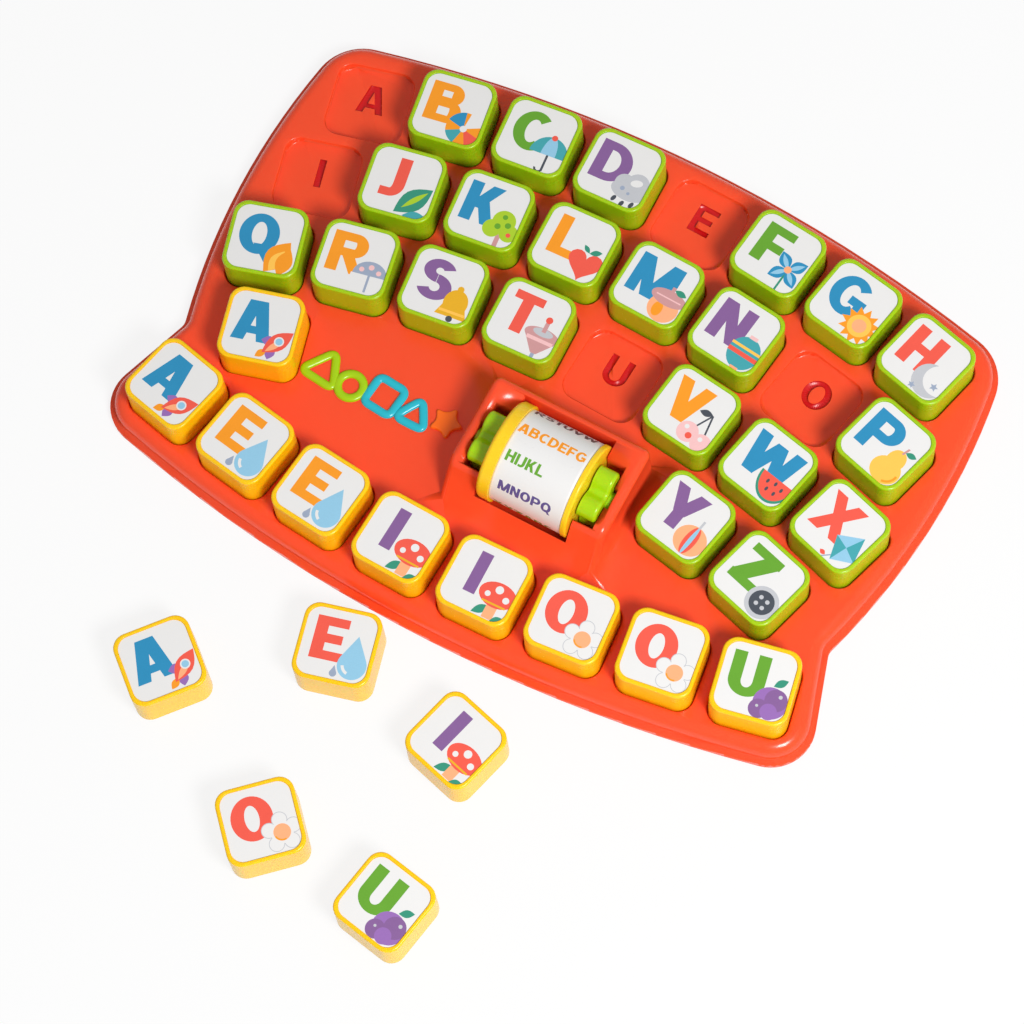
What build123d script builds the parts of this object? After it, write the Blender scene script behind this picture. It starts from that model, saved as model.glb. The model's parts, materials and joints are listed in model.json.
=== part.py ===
# Word building game: a moulded tray of letter tiles with a turning word roller.
# Millimetres. +Z is up and +Y points away from the player. The origin is on the table,
# at the middle of the ground that the tray and the loose tiles in front of it cover.
from build123d import *
from math import asin, atan2, cos, degrees, radians, sin, sqrt, tan
import os

# Tray outline, measured from the middle of the skirt's front edge
tray_depth = 259.6
front_edge_radius = 736.3
front_corner_reach = 184.2
front_corner_radius = 18.0
notch_back = 77.3
notch_radius = 9.0
side_reach = 180.6
side_radius = 340.0
side_middle_back = 174.5
back_edge_radius = 700.0
back_corner_radius = 22.0

# Tray moulding
deck_height = 12.0
deck_wall = 2.5
skirt_wall = 2.5
edge_round = 6.0
rim_step = 2.6
rim_height = 3.5
pocket_depth = 3.8
pocket_floor_wall = 2.2
pocket_gap = 0.65
pocket_mouth = 0.6
rib_wall = 1.6
rib_lift = 2.0

# Letter tile
tile_width = 36.2
tile_corner = 6.9
tile_height = 21.8
tile_draft = 0.4
tile_edge_round = 1.2
tile_wall = 1.8
tile_top_wall = 2.6
label_width = 31.2
label_corner = 5.9
label_sink = 0.5

# Four arched rows of pockets at the back, counted from the rear
back_rows_centre = -367.0
rear_row_radius = 599.2
row_step = 42.93
row_pitches = [4.05, 4.45, 4.83, 5.30]
# A letter for each seated tile and a dot for each empty pocket
full_rows = [".BCD.FGH", ".JKLMN.P", "QRST.VWX"]
short_row = {-3: "A", 2: "Y", 3: "Z"}

# The front row curves the other way, about the same centre as the front edge
front_row_centre = 736.3
front_row_radius = 710.0
front_row_pitch = 3.48
front_row = "AEEIIOOU"

# Loose tiles on the table: letter, x, distance in front of the tray, turn
loose_tiles = [
    ("A", -89.5, 72.8, 50.6),
    ("E", -23.2, 28.8, 15.5),
    ("I", 45.2, 42.0, -14.5),
    ("O", -12.2, 115.1, 43.8),
    ("U", 53.6, 120.4, -9.4),
]

# Roller
roller_middle = 19.8
roller_back = 85.6
flange_radius = 24.0
cap_radius = 23.0
barrel_radius = 22.2
wide_flange = 6.6
thin_flange = 2.6
wide_flange_round = 2.2
thin_flange_round = 1.0
drum_wall = 2.2
drum_web = 2.6
plug_length = 4.0
plug_wall = 1.6
press_gap = 0.05
sleeve_length = 36.6
sleeve_wall = 0.3

# Knobs, with their cross turned a little past the diagonal
knob_gap = 0.8
knob_width = 9.2
knob_turn = 7.0
lobe_reach = 15.5
lobe_half_width = 5.6
valley_round = 2.5
knob_round = 1.6
journal_radius = 5.0
journal_length = 2.0
journal_chamfer = 0.4
spigot_width = 8.0
spigot_depth = 6.0
spigot_gap = 0.1

# Console that holds the roller in open cradles
running_gap = 0.08
journal_end_gap = 0.3
trough_gap = 0.9
trough_end_gap = 0.8
trough_wall = 2.0
trough_lift = 1.1
well_gap = 0.6
well_end_gap = 0.6
cheek_wall = 6.4
console_lift = 7.0
console_top_slope = 4.0
console_front_slope = 60.0
console_front_reach = 29.5
console_round = 8.0
console_back_wall = 4.0
console_back_round = 4.0
console_back_draft = 4.0
console_side_round = 3.4
console_wall = 2.2


def spread(turn):
    """Half the ground that a turned tile covers along an axis."""
    straight = tile_width / 2 - tile_corner
    return straight * (abs(cos(radians(turn))) + abs(sin(radians(turn)))) + tile_corner


# The set's footprint runs from the nearest loose tile to the rim behind the tray
set_front = -max(ahead + spread(turn) for letter, x, ahead, turn in loose_tiles)
set_back = tray_depth + rim_step
tray_front = -(set_front + set_back) / 2

pocket_floor = deck_height - pocket_depth
pocket_underside = pocket_floor - pocket_floor_wall
pocket_width = tile_width + 2 * pocket_gap
pocket_corner = tile_corner + pocket_gap

# The trough's wall just clears the table
trough_radius = flange_radius + trough_gap
axis_y = tray_front + roller_back
axis_z = trough_radius + trough_wall + trough_lift
well_radius = lobe_reach + well_gap
drum_length = wide_flange + sleeve_length + thin_flange
drum_left = roller_middle - drum_length / 2
drum_right = roller_middle + drum_length / 2
knob_reach = drum_length / 2 + knob_gap + knob_width
well_reach = knob_reach + well_end_gap
trough_reach = drum_length / 2 + trough_end_gap
saddle_reach = knob_reach + journal_length + journal_end_gap
console_reach = well_reach + cheek_wall
roller_axis = Axis((0, axis_y, axis_z), (1, 0, 0))


def row_places():
    """Every pocket as letter, x, y and turn; a dot stands for an empty pocket."""
    places = []
    rear_y = tray_front + back_rows_centre
    for row, letters in enumerate(full_rows):
        reach = rear_row_radius - row * row_step
        for place, letter in enumerate(letters):
            turn = (place - (len(letters) - 1) / 2) * row_pitches[row]
            x, y = reach * sin(radians(turn)), rear_y + reach * cos(radians(turn))
            places.append((letter, x, y, -turn))
    reach = rear_row_radius - len(full_rows) * row_step
    for place, letter in short_row.items():
        turn = place * row_pitches[-1]
        x, y = reach * sin(radians(turn)), rear_y + reach * cos(radians(turn))
        places.append((letter, x, y, -turn))
    front_y = tray_front + front_row_centre
    for place, letter in enumerate(front_row):
        turn = (place - (len(front_row) - 1) / 2) * front_row_pitch
        x = front_row_radius * sin(radians(turn))
        y = front_y - front_row_radius * cos(radians(turn))
        places.append((letter, x, y, turn))
    return places


def back_corner():
    """Where the side arc meets the back arc, as x and y from the front edge."""
    side_x, side_y = side_reach - side_radius, side_middle_back
    back_y = tray_depth - back_edge_radius
    gap = sqrt(side_x**2 + (side_y - back_y) ** 2)
    along = (gap**2 + back_edge_radius**2 - side_radius**2) / (2 * gap)
    across = sqrt(back_edge_radius**2 - along**2)
    heading = atan2(side_y - back_y, side_x)
    x = along * cos(heading) + across * sin(heading)
    y = back_y + along * sin(heading) - across * cos(heading)
    return x, y


def outline(growth=0.0):
    """Plan of the skirt: arched front and back, bowed sides and a notch above each front lobe."""
    side_x = side_reach - side_radius
    notch_reach = side_x + sqrt(side_radius**2 - (side_middle_back - notch_back) ** 2)
    front_span = degrees(asin(front_corner_reach / front_edge_radius))
    front_corner_back = front_edge_radius * (1 - cos(radians(front_span)))
    corner_x, corner_y = back_corner()
    back_span = degrees(asin(corner_x / back_edge_radius))
    with BuildSketch(Plane((0, tray_front, 0))) as plan:
        with BuildLine():
            CenterArc((0, front_edge_radius), front_edge_radius, -90, front_span)
            Line((front_corner_reach, front_corner_back), (notch_reach, notch_back))
            ThreePointArc(
                (notch_reach, notch_back),
                (side_reach, side_middle_back),
                (corner_x, corner_y),
            )
            back_y = tray_depth - back_edge_radius
            CenterArc((0, back_y), back_edge_radius, 90 - back_span, back_span)
            mirror(about=Plane.YZ)
        make_face()
        fillet(plan.vertices().group_by(Axis.Y)[-1], back_corner_radius)
        fillet(plan.vertices().group_by(Axis.Y)[1], notch_radius)
        fillet(plan.vertices().group_by(Axis.Y)[0], front_corner_radius)
        if growth:
            offset(amount=growth)
    return plan.sketch


def arc_band(centre_y, inner, outer, start, span):
    """A flat band between two arcs about a centre on the tray's middle line."""
    with BuildSketch(Plane((0, centre_y, 0))) as band:
        with BuildLine():
            near = CenterArc((0, 0), inner, start, span)
            far = CenterArc((0, 0), outer, start, span)
            Line(near @ 0, far @ 0)
            Line(near @ 1, far @ 1)
        make_face()
    return band.sketch


def row_bands():
    """The ground under each row of pockets, as bands that share their long edges."""
    rear_y = tray_front + back_rows_centre
    bands = []
    for row, letters in enumerate(full_rows):
        reach = rear_row_radius - row * row_step
        span = len(letters) * row_pitches[row]
        inner, outer = reach - row_step / 2, reach + row_step / 2
        bands.append(arc_band(rear_y, inner, outer, 90 - span / 2, span))
    reach = rear_row_radius - len(full_rows) * row_step
    inner, outer = reach - row_step / 2, reach + row_step / 2
    pitch = row_pitches[-1]
    for place in short_row:
        bands.append(arc_band(rear_y, inner, outer, 90 - (place + 0.5) * pitch, pitch))
    span = len(front_row) * front_row_pitch
    inner, outer = front_row_radius - row_step / 2, front_row_radius + row_step / 2
    front_y = tray_front + front_row_centre
    bands.append(arc_band(front_y, inner, outer, -90 - span / 2, span))
    return bands


def console_block(reach, inset, foot):
    """The mound that carries the roller, as long as reach each way and cut off level at foot."""
    top_rise = tan(radians(console_top_slope))
    front_rise = tan(radians(console_front_slope))
    lean = tan(radians(console_back_draft))
    front = axis_y - console_front_reach
    back = axis_y + trough_radius + console_back_wall
    # The top meets the steep front and the leaning back at sharp corners before they are rounded
    crown = axis_z + console_lift
    front_climb = crown - axis_y * top_rise - deck_height + front * front_rise
    front_top = front_climb / (front_rise - top_rise)
    front_height = deck_height + (front_top - front) * front_rise
    back_height = (crown + (back - axis_y + axis_z * lean) * top_rise) / (1 + lean * top_rise)
    back_top = back - (back_height - axis_z) * lean
    with BuildPart() as block:
        with BuildSketch(Plane.YZ.offset(roller_middle - reach)) as side:
            with BuildLine():
                Polyline(
                    (front, foot),
                    (front, deck_height),
                    (front_top, front_height),
                    (back_top, back_height),
                    (back + (axis_z - foot) * lean, foot),
                    close=True,
                )
            make_face()
            fillet(side.vertices().sort_by(Axis.Y)[-1], console_back_round)
            fillet(side.vertices().sort_by(Axis.X)[2], console_round)
            if inset:
                offset(amount=-inset)
        extrude(amount=2 * reach)
    return block.part


def cradle(radius, left, right):
    """A round-bottomed channel along the roller's axis, open upwards."""
    with BuildPart() as channel:
        with BuildSketch(Plane((left, axis_y, axis_z), (0, 1, 0), (1, 0, 0))):
            Circle(radius)
            Rectangle(2 * radius, 2 * flange_radius, align=(Align.CENTER, Align.MIN))
        extrude(amount=right - left)
    return channel.part


def underside_ribs():
    """Thin ribs below the deck, along the gaps between rows and across them."""
    rear_y = tray_front + back_rows_centre
    rear_edge = rear_row_radius + row_step / 2
    span = len(full_rows[0]) * row_pitches[0]
    ribs = []
    for row in range(1, len(full_rows) + 1):
        middle = rear_edge - row * row_step
        inner, outer = middle - rib_wall / 2, middle + rib_wall / 2
        ribs.append(arc_band(rear_y, inner, outer, 90 - span / 2, span))
    spoke_span = degrees(rib_wall / rear_row_radius)
    inner = rear_edge - len(full_rows) * row_step
    for spoke in (-2, 0, 2):
        start = 90 - spoke * row_pitches[0] - spoke_span / 2
        ribs.append(arc_band(rear_y, inner, rear_edge, start, spoke_span))
    return ribs


# Hollow of the tray, as a solid: the deck's underside, deeper between the pockets,
# with the cradles' walls and the ribs left standing in it
with BuildPart() as hollow:
    extrude(outline(-skirt_wall), amount=deck_height - deck_wall)
    add(console_block(well_reach, console_wall, deck_height - 3 * deck_wall))
    for band in row_bands():
        extrude(band.moved(Location((0, 0, pocket_underside))), amount=deck_height, mode=Mode.SUBTRACT)
    for rib in underside_ribs():
        extrude(rib.moved(Location((0, 0, rib_lift))), amount=deck_height, mode=Mode.SUBTRACT)
    trough_end = trough_reach + trough_wall
    add(
        cradle(trough_radius + trough_wall, roller_middle - trough_end, roller_middle + trough_end),
        mode=Mode.SUBTRACT,
    )
    add(
        cradle(well_radius + trough_wall, roller_middle - well_reach, roller_middle + well_reach),
        mode=Mode.SUBTRACT,
    )

# Console with its side edges rounded
with BuildPart() as console:
    add(console_block(console_reach, 0, deck_height - deck_wall))
    end_edges = console.faces().filter_by(Axis.X).edges()
    fillet(end_edges.filter_by(lambda edge: edge.center().Z > deck_height), console_side_round)

# Tray: one moulded shell with 35 pockets and the roller's console
with BuildPart() as tray:
    extrude(outline(), amount=deck_height)
    fillet(tray.edges().group_by(Axis.Z)[-1], edge_round)
    extrude(outline(rim_step), amount=rim_height)
    add(console.part)
    add(hollow.part, mode=Mode.SUBTRACT)
    with BuildSketch(Plane.XY.offset(pocket_floor)) as pockets:
        for letter, x, y, turn in row_places():
            with Locations(Location((x, y), turn)):
                RectangleRounded(pocket_width, pocket_width, pocket_corner)
    extrude(amount=pocket_depth, mode=Mode.SUBTRACT)
    with BuildSketch(Plane.XY.offset(deck_height)) as mouths:
        mouth_width = pocket_width + 2 * pocket_mouth
        for letter, x, y, turn in row_places():
            with Locations(Location((x, y), turn)):
                RectangleRounded(mouth_width, mouth_width, pocket_corner + pocket_mouth)
    extrude(amount=-pocket_mouth, taper=45, mode=Mode.SUBTRACT)
    trough = cradle(trough_radius, roller_middle - trough_reach, roller_middle + trough_reach)
    add(trough, mode=Mode.SUBTRACT)
    wells = cradle(well_radius, roller_middle - well_reach, roller_middle + well_reach)
    add(wells, mode=Mode.SUBTRACT)
    saddle_radius = journal_radius + running_gap
    saddles = cradle(saddle_radius, roller_middle - saddle_reach, roller_middle + saddle_reach)
    add(saddles, mode=Mode.SUBTRACT)

# Tile: a hollow square moulding, open below, with a sunk place for its label
with BuildPart() as tile:
    with BuildSketch() as foot:
        RectangleRounded(tile_width, tile_width, tile_corner)
    extrude(amount=tile_height, taper=tile_draft)
    fillet(tile.edges().group_by(Axis.Z)[-1], tile_edge_round)
    with BuildSketch(Plane.XY.offset(tile_height)) as label_place:
        RectangleRounded(label_width, label_width, label_corner)
    extrude(amount=-label_sink, mode=Mode.SUBTRACT)
    with BuildSketch() as inside:
        inner_width = tile_width - 2 * tile_wall
        RectangleRounded(inner_width, inner_width, tile_corner - tile_wall)
    extrude(amount=tile_height - tile_top_wall, taper=tile_draft, mode=Mode.SUBTRACT)

# Half sections of the roller are drawn with x along the axis from the drum's left end
section = Plane((drum_left, axis_y, axis_z), (1, 0, 0), (0, -1, 0))
barrel_end = wide_flange + sleeve_length
drum_bore = barrel_radius - drum_wall

# Drum: a cup with the wide flange at its closed end
with BuildPart() as roller_drum:
    with BuildSketch(section) as cup:
        with BuildLine():
            Polyline(
                (0, 0),
                (0, flange_radius),
                (wide_flange, flange_radius),
                (wide_flange, barrel_radius),
                (barrel_end, barrel_radius),
                (barrel_end, drum_bore),
                (drum_web, drum_bore),
                (drum_web, 0),
                close=True,
            )
        make_face()
        fillet(cup.vertices().group_by(Axis.Y)[-1].sort_by(Axis.X)[0], wide_flange_round)
    revolve(axis=roller_axis)
    with BuildSketch(Plane((drum_left, axis_y, axis_z), (0, 1, 0), (1, 0, 0))):
        Rectangle(spigot_width + 2 * spigot_gap, spigot_width + 2 * spigot_gap, rotation=45)
    extrude(amount=drum_web, mode=Mode.SUBTRACT)

# End cap: a disc with the thin flange, pushed into the drum's open end
with BuildPart() as roller_cap:
    plug_radius = drum_bore - press_gap
    with BuildSketch(section) as disc:
        with BuildLine():
            Polyline(
                (barrel_end, 0),
                (barrel_end, plug_radius - plug_wall),
                (barrel_end - plug_length, plug_radius - plug_wall),
                (barrel_end - plug_length, plug_radius),
                (barrel_end, plug_radius),
                (barrel_end, cap_radius),
                (drum_length, cap_radius),
                (drum_length, 0),
                close=True,
            )
        make_face()
        fillet(disc.vertices().group_by(Axis.Y)[-1].sort_by(Axis.X)[-1], thin_flange_round)
    revolve(axis=roller_axis)
    with BuildSketch(Plane((drum_right, axis_y, axis_z), (0, 1, 0), (1, 0, 0))):
        Rectangle(spigot_width + 2 * spigot_gap, spigot_width + 2 * spigot_gap, rotation=45)
    extrude(amount=-thin_flange, mode=Mode.SUBTRACT)

# Printed sleeve wrapped round the barrel between the flanges
with BuildPart() as roller_label:
    with BuildSketch(section) as wrap:
        with Locations((wide_flange, barrel_radius)):
            Rectangle(sleeve_length, sleeve_wall, align=(Align.MIN, Align.MIN))
    revolve(axis=roller_axis)


def knob(near_x, side):
    """Cross-shaped knob from its face beside the drum, pointing left (-1) or right (1)."""
    face = Plane((near_x, axis_y, axis_z), (0, 1, 0), (side, 0, 0))
    with BuildPart() as grip:
        with BuildSketch(face) as cross:
            for turn in (45, 135):
                lobe_turn = turn + side * knob_turn
                SlotOverall(2 * lobe_reach, 2 * lobe_half_width, rotation=lobe_turn)
            fillet(cross.vertices().sort_by_distance((0, 0))[:4], valley_round)
        extrude(amount=knob_width)
        fillet(grip.edges().group_by(Axis.X)[-1 if side > 0 else 0], knob_round)
        with BuildSketch(face.offset(knob_width)):
            Circle(journal_radius)
        extrude(amount=journal_length)
        chamfer(grip.edges().group_by(Axis.X)[-1 if side > 0 else 0], journal_chamfer)
        with BuildSketch(face):
            Rectangle(spigot_width, spigot_width, rotation=45)
        extrude(amount=-(knob_gap + spigot_depth))
    return grip.part


knob_left = knob(drum_left - knob_gap, -1)
knob_right = knob(drum_right + knob_gap, 1)

os.makedirs("parts", exist_ok=True)


def write(piece, name):
    """Label the finished piece and write it under its own name."""
    piece.label = name
    export_step(piece, f"parts/{name}.step")


write(tray.part, "tray")
write(roller_drum.part, "roller_drum")
write(roller_cap.part, "roller_cap")
write(roller_label.part, "roller_label")
write(knob_left, "knob_left")
write(knob_right, "knob_right")

# Vowels come more than once, so they are numbered in the order of their pockets
made = {}
for letter, x, y, turn in row_places():
    if letter == ".":
        continue
    name = f"tile_{letter.lower()}"
    if letter in front_row:
        made[letter] = made.get(letter, 0) + 1
        name = f"{name}_{made[letter]}"
    write(tile.part.moved(Location((x, y, pocket_floor), (0, 0, turn))), name)

for letter, x, ahead, turn in loose_tiles:
    place = Location((x, tray_front - ahead, 0), (0, 0, turn))
    write(tile.part.moved(place), f"loose_{letter.lower()}")
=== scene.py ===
import json
from math import atan2, cos, pi, radians, sin
import bmesh
import bpy
from mathutils import Matrix, Vector
from mathutils.geometry import delaunay_2d_cdt


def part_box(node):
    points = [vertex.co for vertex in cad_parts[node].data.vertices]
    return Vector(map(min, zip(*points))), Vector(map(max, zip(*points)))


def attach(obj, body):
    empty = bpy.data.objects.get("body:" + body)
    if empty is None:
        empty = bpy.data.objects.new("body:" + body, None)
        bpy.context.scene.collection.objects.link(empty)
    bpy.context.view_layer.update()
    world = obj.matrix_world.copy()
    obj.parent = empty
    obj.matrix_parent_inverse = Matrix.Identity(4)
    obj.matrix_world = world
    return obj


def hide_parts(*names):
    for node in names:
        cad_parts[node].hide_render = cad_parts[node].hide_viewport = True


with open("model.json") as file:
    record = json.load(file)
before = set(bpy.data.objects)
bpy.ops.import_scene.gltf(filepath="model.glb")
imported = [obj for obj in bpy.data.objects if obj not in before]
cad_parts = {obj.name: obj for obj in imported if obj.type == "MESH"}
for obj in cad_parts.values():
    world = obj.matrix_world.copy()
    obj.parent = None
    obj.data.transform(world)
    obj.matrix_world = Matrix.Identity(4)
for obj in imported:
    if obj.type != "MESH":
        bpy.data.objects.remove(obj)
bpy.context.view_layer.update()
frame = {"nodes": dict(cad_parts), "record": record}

# The camera stands high above the front right of the set, where the photograph was taken.
# It has a long lens and leans a little to one side.
camera_place = (0.3263, -0.4257, 1.4858)
camera_heading, camera_tilt, camera_roll = radians(36.03), radians(19.86), radians(-7.39)


def put(name, data):
    """A new object for a mesh, a lamp or a camera, in the scene."""
    piece = bpy.data.objects.new(name, data)
    bpy.context.scene.collection.objects.link(piece)
    return piece


camera_data = bpy.data.cameras.new("camera")
camera_data.sensor_width = 36
camera_data.lens = 121.3
camera_data.clip_end = 20
camera = put("camera", camera_data)
camera.matrix_world = (
    Matrix.Translation(camera_place)
    @ Matrix.Rotation(camera_heading, 4, "Z")
    @ Matrix.Rotation(camera_tilt, 4, "X")
    @ Matrix.Rotation(camera_roll, 4, "Z")
)
bpy.context.scene.camera = camera

# The stage is a pale table in a plain bright room, with one broad soft lamp from the right
# and front. The table looks white to the camera and keeps the shadows that fall on it.
table_reach = 6.0
table_grey, table_white_share = 0.8, 0.85
room_light = 0.42
key_size, key_energy, key_distance = 0.45, 19.5, 1.5
key_direction = Vector((0.576, -0.252, 0.777))
pure_white = (1, 1, 1, 1)


def fresh_material(name):
    """A new material, with its nodes and its links."""
    material = bpy.data.materials.new(name)
    material.use_nodes = True
    return material, material.node_tree.nodes, material.node_tree.links


def reckon(nodes, links, operation, *terms):
    """A sum on numbers or on other nodes' outputs."""
    step = nodes.new("ShaderNodeMath")
    step.operation = operation
    for socket, term in zip(step.inputs, terms):
        if isinstance(term, float):
            socket.default_value = term
        else:
            links.new(term, socket)
    return step.outputs[0]


def blended(nodes, links, share, lower, upper):
    """Two shaders mixed by a share of the upper one."""
    blend = nodes.new("ShaderNodeMixShader")
    for socket, source in zip(blend.inputs, (share, lower, upper)):
        links.new(source, socket)
    return blend.outputs[0]


bpy.context.scene.view_settings.view_transform = "Standard"
table_mesh = bpy.data.meshes.new("table_top")
table_mesh.from_pydata(
    [(-table_reach, -table_reach, 0), (table_reach, -table_reach, 0),
     (table_reach, table_reach, 0), (-table_reach, table_reach, 0)], [], [(0, 1, 2, 3)])
table_top = put("table_top", table_mesh)
table_material, nodes, links = fresh_material("table_white")
shader = nodes["Principled BSDF"]
shader.inputs["Base Color"].default_value = (table_grey, table_grey, table_grey, 1)
shader.inputs["Roughness"].default_value = 0.9
lift = nodes.new("ShaderNodeEmission")
lift.inputs["Color"].default_value = pure_white
rays = nodes.new("ShaderNodeLightPath").outputs
seen = reckon(nodes, links, "MAXIMUM", rays["Is Camera Ray"], rays["Is Glossy Ray"])
share = reckon(nodes, links, "MULTIPLY", seen, table_white_share)
whitened = blended(nodes, links, share, shader.outputs[0], lift.outputs[0])
links.new(whitened, nodes["Material Output"].inputs[0])
table_mesh.materials.append(table_material)

room = bpy.data.worlds.new("room")
room.use_nodes = True
bpy.context.scene.world = room
nodes, links = room.node_tree.nodes, room.node_tree.links
dim = nodes["Background"]
dim.inputs["Color"].default_value = pure_white
dim.inputs["Strength"].default_value = room_light
bright = nodes.new("ShaderNodeBackground")
bright.inputs["Color"].default_value = pure_white
rays = nodes.new("ShaderNodeLightPath").outputs
behind = blended(nodes, links, rays["Is Camera Ray"], dim.outputs[0], bright.outputs[0])
links.new(behind, nodes["World Output"].inputs[0])

key_data = bpy.data.lights.new("key_lamp", "AREA")
key_data.shape = "DISK"
key_data.size = key_size
key_data.energy = key_energy
key_lamp = put("key_lamp", key_data)
key_lamp.location = key_direction * key_distance
key_lamp.rotation_euler = key_direction.to_track_quat("Z", "Y").to_euler()

# The alphabet is a plain heavy one, the same on the labels, the word sleeve and the pocket
# floors. Each letter is a few overlapping strokes in a box one unit high; a stroke is a
# list of corner points. The label printer and the mould maker both work from these outlines.
arc_step = 9


def bar(x0, y0, x1, y1):
    """An upright rectangle."""
    return [(x0, y0), (x1, y0), (x1, y1), (x0, y1)]


def leg(x0, y0, x1, y1, width):
    """A leaning stroke whose ends are cut level."""
    half = width / 2
    return [(x0 - half, y0), (x0 + half, y0), (x1 + half, y1), (x1 - half, y1)]


def bow(x, y, reach, rise, start, end, side, top):
    """Part of an oval ring, side thick at its flanks and top thick at its crown."""
    steps = max(3, round(abs(end - start) / arc_step))
    turns = [radians(start + (end - start) * i / steps) for i in range(steps + 1)]
    outer = [(x + reach * cos(t), y + rise * sin(t)) for t in turns]
    inner = [(x + (reach - side) * cos(t), y + (rise - top) * sin(t)) for t in turns]
    return outer + inner[::-1]


def bowl(x0, x1, y0, y1, side, top):
    """The rounded belly of letters such as B, D, P and R, from its stem at x0."""
    rise = (y1 - y0) / 2
    middle = x1 - min(rise * 1.05, x1 - x0 - 0.02)
    return [bar(x0, y1 - top, middle, y1), bar(x0, y0, middle, y0 + top),
            bow(middle, y0 + rise, x1 - middle, rise, -90, 0, side, top),
            bow(middle, y0 + rise, x1 - middle, rise, 0, 90, side, top)]


def ring(x, y, reach, rise, side, top):
    """A closed oval ring, in four parts."""
    return [bow(x, y, reach, rise, start, start + 90, side, top) for start in (0, 90, 180, 270)]


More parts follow.
